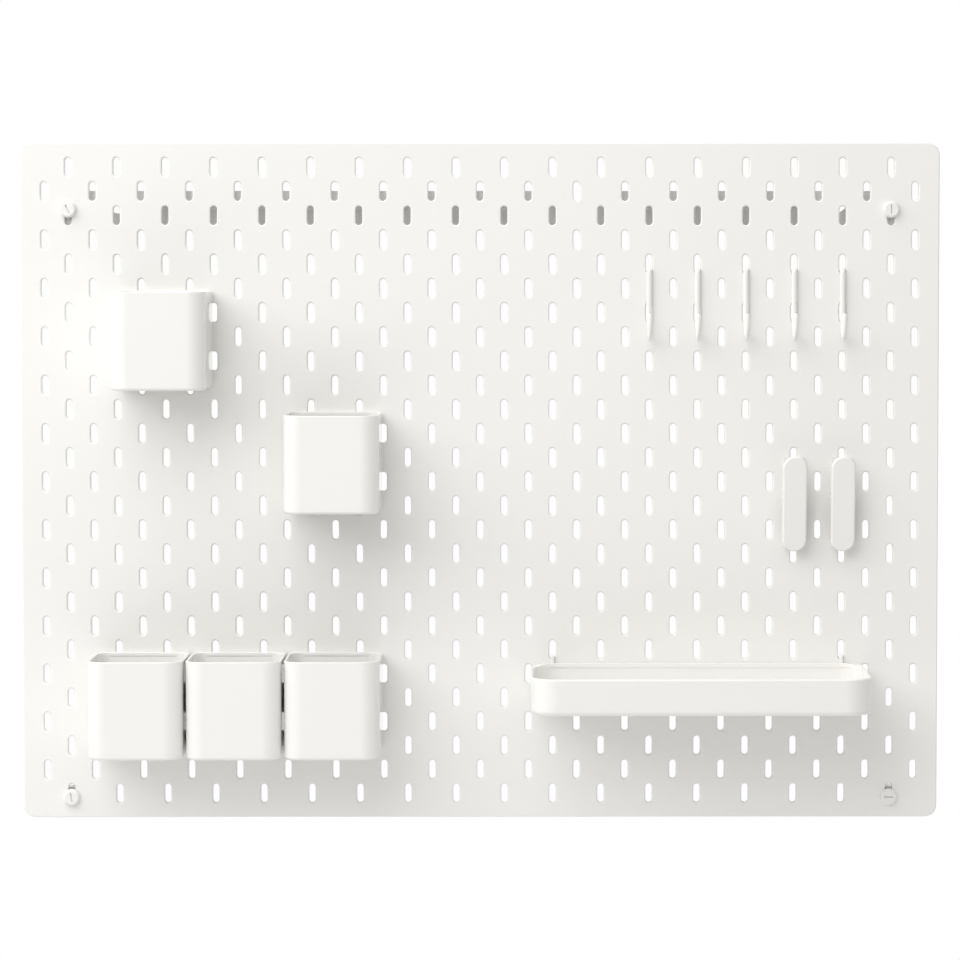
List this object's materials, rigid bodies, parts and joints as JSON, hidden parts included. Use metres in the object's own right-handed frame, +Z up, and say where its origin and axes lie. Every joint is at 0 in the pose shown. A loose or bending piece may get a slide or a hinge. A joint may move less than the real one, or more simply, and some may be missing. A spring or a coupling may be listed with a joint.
{
  "type": "wall pegboard with organizers",
  "caption": "Slotted white wall pegboard on a steel rail, with hang-on containers, a shelf tray, hooks and spring clips for craft tools and small parts.",
  "frame": {"origin": "middle of the wall rail's two outer screw holes, on the wall plane", "axes": "+X to the right seen from the room, +Y towards the wall, +Z up"},
  "size_m": [0.76, 0.13, 0.56],
  "materials": {
    "board_white": "satin paint on fibreboard",
    "rail_white": "satin powder coat",
    "fitting_white": "fine matt",
    "screw_white": "satin",
    "tray_white": "glossy",
    "hook_white": "satin gloss",
    "clip_white": "satin gloss",
    "clip_steel": "bright wire"
  },
  "bodies": {
    "wall_side": {"wall_rail": "rail_white"},
    "board": {"board": "board_white", "hanger_left": "fitting_white", "hanger_right": "fitting_white", "spacer_left": "fitting_white", "spacer_right": "fitting_white"},
    "thumb_screw_top_left": {"thumb_screw_top_left": "screw_white"},
    "thumb_screw_top_right": {"thumb_screw_top_right": "screw_white"},
    "thumb_screw_bottom_left": {"thumb_screw_bottom_left": "screw_white"},
    "thumb_screw_bottom_right": {"thumb_screw_bottom_right": "screw_white"},
    "container_1": {"container_1": "tray_white"},
    "container_2": {"container_2": "tray_white"},
    "container_3": {"container_3": "tray_white"},
    "container_4": {"container_4": "tray_white"},
    "container_5": {"container_5": "tray_white"},
    "shelf": {"shelf": "tray_white"},
    "hook_1": {"hook_1": "hook_white"},
    "hook_2": {"hook_2": "hook_white"},
    "hook_3": {"hook_3": "hook_white"},
    "hook_4": {"hook_4": "hook_white"},
    "hook_5": {"hook_5": "hook_white"},
    "clip_1": {"clip_1_base": "clip_white", "clip_1_pin": "clip_steel", "clip_1_spring": "clip_steel"},
    "clip_1_lever": {"clip_1_lever": "clip_white"},
    "clip_2": {"clip_2_base": "clip_white", "clip_2_pin": "clip_steel", "clip_2_spring": "clip_steel"},
    "clip_2_lever": {"clip_2_lever": "clip_white"}
  },
  "joints": [
    {"name": "board_lift", "type": "slide", "parent": "wall_side", "child": "board", "axis": [0, 0, 1], "range_m": [0, 0.01]},
    {"name": "thumb_screw_top_left_turn", "type": "hinge", "parent": "board", "child": "thumb_screw_top_left", "pos_m": [-0.34, -0.02, 0.008], "axis": [0, -1, 0], "range_deg": [0, 720]},
    {"name": "thumb_screw_top_right_turn", "type": "hinge", "parent": "board", "child": "thumb_screw_top_right", "pos_m": [0.34, -0.02, 0.008], "axis": [0, -1, 0], "range_deg": [0, 720]},
    {"name": "thumb_screw_bottom_left_turn", "type": "hinge", "parent": "board", "child": "thumb_screw_bottom_left", "pos_m": [-0.34, -0.02, -0.48], "axis": [0, -1, 0], "range_deg": [0, 720]},
    {"name": "thumb_screw_bottom_right_turn", "type": "hinge", "parent": "board", "child": "thumb_screw_bottom_right", "pos_m": [0.34, -0.02, -0.48], "axis": [0, -1, 0], "range_deg": [0, 720]},
    {"name": "container_1_lift", "type": "slide", "parent": "board", "child": "container_1", "axis": [0, 0, 1], "range_m": [0, 0.0095]},
    {"name": "container_2_lift", "type": "slide", "parent": "board", "child": "container_2", "axis": [0, 0, 1], "range_m": [0, 0.0095]},
    {"name": "container_3_lift", "type": "slide", "parent": "board", "child": "container_3", "axis": [0, 0, 1], "range_m": [0, 0.0095]},
    {"name": "container_4_lift", "type": "slide", "parent": "board", "child": "container_4", "axis": [0, 0, 1], "range_m": [0, 0.0095]},
    {"name": "container_5_lift", "type": "slide", "parent": "board", "child": "container_5", "axis": [0, 0, 1], "range_m": [0, 0.0095]},
    {"name": "shelf_lift", "type": "slide", "parent": "board", "child": "shelf", "axis": [0, 0, 1], "range_m": [0, 0.0095]},
    {"name": "hook_1_lift", "type": "slide", "parent": "board", "child": "hook_1", "axis": [0, 0, 1], "range_m": [0, 0.0095]},
    {"name": "hook_2_lift", "type": "slide", "parent": "board", "child": "hook_2", "axis": [0, 0, 1], "range_m": [0, 0.0095]},
    {"name": "hook_3_lift", "type": "slide", "parent": "board", "child": "hook_3", "axis": [0, 0, 1], "range_m": [0, 0.0095]},
    {"name": "hook_4_lift", "type": "slide", "parent": "board", "child": "hook_4", "axis": [0, 0, 1], "range_m": [0, 0.0095]},
    {"name": "hook_5_lift", "type": "slide", "parent": "board", "child": "hook_5", "axis": [0, 0, 1], "range_m": [0, 0.0095]},
    {"name": "clip_1_lift", "type": "slide", "parent": "board", "child": "clip_1", "axis": [0, 0, 1], "range_m": [0, 0.0095]},
    {"name": "clip_1_squeeze", "type": "hinge", "parent": "clip_1", "child": "clip_1_lever", "pos_m": [0.26, -0.0312, -0.229], "axis": [-1, 0, 0], "range_deg": [0, 16], "stiffness_Nm_per_rad": 0.15, "springref_deg": -28.65},
    {"name": "clip_2_lift", "type": "slide", "parent": "board", "child": "clip_2", "axis": [0, 0, 1], "range_m": [0, 0.0095]},
    {"name": "clip_2_squeeze", "type": "hinge", "parent": "clip_2", "child": "clip_2_lever", "pos_m": [0.3, -0.0312, -0.229], "axis": [-1, 0, 0], "range_deg": [0, 16], "stiffness_Nm_per_rad": 0.15, "springref_deg": -28.65}
  ]
}
